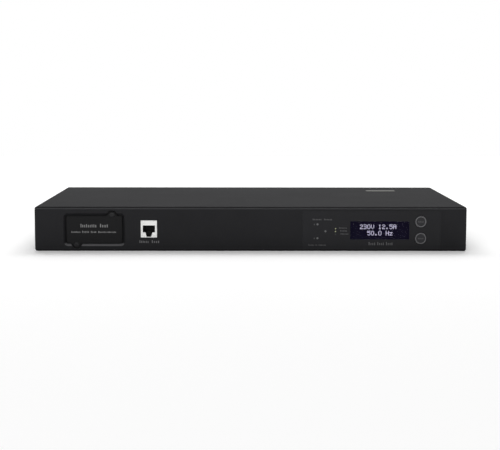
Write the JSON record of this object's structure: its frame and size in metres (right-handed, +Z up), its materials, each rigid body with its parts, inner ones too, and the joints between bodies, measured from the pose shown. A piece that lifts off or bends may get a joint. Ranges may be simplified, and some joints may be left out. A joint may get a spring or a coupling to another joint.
{
  "type": "rack power distribution unit",
  "caption": "Flat black rack unit with a blank cover, a modular jack, a lit two-line display with round keys, and mains sockets along its back.",
  "frame": {"origin": "under the middle of the bounding box, on the plane that the unit stands on", "axes": "+X to the right as seen from the front, +Y from the front to the back, +Z up"},
  "size_m": [0.433, 0.2436, 0.0446],
  "materials": {
    "lid_paint": "fine-textured powder coat, matt",
    "tray_paint": "fine-textured powder coat, matt",
    "bezel_plastic": "fine-grained moulded, matt",
    "overlay_film": "satin polycarbonate film",
    "window_tint": "clear, tinted, polished",
    "lcd_glass": "polished",
    "backlight": "diffusing, matt",
    "bright_steel": "zinc plated",
    "black_steel": "black oxide, satin",
    "key_plastic": "satin",
    "lamp_plastic": "frosted clear",
    "status_plastic": "frosted clear, lit",
    "switch_plastic": "moulded, satin",
    "plunger_plastic": "moulded, satin",
    "jack_plastic": "moulded, satin",
    "gold_contact": "gold plated",
    "circuit_board": "solder mask, semi-gloss",
    "natural_nylon": "moulded, matt",
    "black_mould": "moulded, matt",
    "ribbon_vinyl": "matt",
    "relay_case": "moulded, semi-gloss",
    "supply_case": "potted case, matt",
    "sensor_case": "moulded, matt",
    "copper": "bare copper",
    "capacitor_sleeve": "shrink sleeve",
    "varistor_coat": "dipped epoxy",
    "chip_mould": "moulded, matt",
    "terminal_mould": "moulded, satin",
    "nickel_brass": "nickel plated",
    "wire_vinyl": "matt",
    "socket_mould": "moulded, satin",
    "spacer_brass": "plain",
    "sticker_paper": "matt, blank"
  },
  "bodies": {
    "chassis": {"blank_cover": "bezel_plastic", "blank_cover_screws": "black_steel", "board_pillars": "spacer_brass", "board_screws": "bright_steel", "busbars": "copper", "card_connector": "black_mould", "card_guides": "natural_nylon", "chassis_tray": "tray_paint", "control_overlay": "overlay_film", "controller_chips": "chip_mould", "current_sensor": "sensor_case", "display_backlight": "backlight", "display_board": "circuit_board", "display_board_screws": "bright_steel", "display_frame": "bright_steel", "display_glass": "lcd_glass", "display_lens": "window_tint", "display_ribbon": "ribbon_vinyl", "ear_nuts": "bright_steel", "earth_nut": "bright_steel", "earth_screw": "bright_steel", "earth_strap": "copper", "filter_capacitors": "capacitor_sleeve", "front_bezel": "bezel_plastic", "inlet_a": "socket_mould", "inlet_b": "socket_mould", "inlet_blades": "nickel_brass", "interface_board": "circuit_board", "interface_ribbon": "ribbon_vinyl", "key_switches": "switch_plastic", "large_outlet_1": "socket_mould", "large_outlet_2": "socket_mould", "lid_screws": "black_steel", "lid_sticker": "sticker_paper", "logic_supplies": "supply_case", "mains_leads": "wire_vinyl", "outlet_tabs": "nickel_brass", "power_board": "circuit_board", "ribbon_headers": "black_mould", "sensor_bridge": "copper", "serial_contacts": "gold_contact", "serial_jack": "jack_plastic", "small_outlet_1": "socket_mould", "small_outlet_2": "socket_mould", "small_outlet_3": "socket_mould", "small_outlet_4": "socket_mould", "small_outlet_5": "socket_mould", "small_outlet_6": "socket_mould", "small_outlet_7": "socket_mould", "small_outlet_8": "socket_mould", "source_light_pipes": "lamp_plastic", "status_light_pipe": "status_plastic", "terminal_blocks": "terminal_mould", "top_cover": "lid_paint", "transfer_relays": "relay_case", "varistors": "varistor_coat"},
    "select_button": {"select_key": "key_plastic", "select_plunger": "plunger_plastic"},
    "enter_button": {"enter_key": "key_plastic", "enter_plunger": "plunger_plastic"}
  },
  "joints": [
    {"name": "select_press", "type": "slide", "parent": "chassis", "child": "select_button", "axis": [0, 1, 0], "range_m": [0, 0.0005], "stiffness_N_per_m": 1500},
    {"name": "enter_press", "type": "slide", "parent": "chassis", "child": "enter_button", "axis": [0, 1, 0], "range_m": [0, 0.0005], "stiffness_N_per_m": 1500}
  ]
}
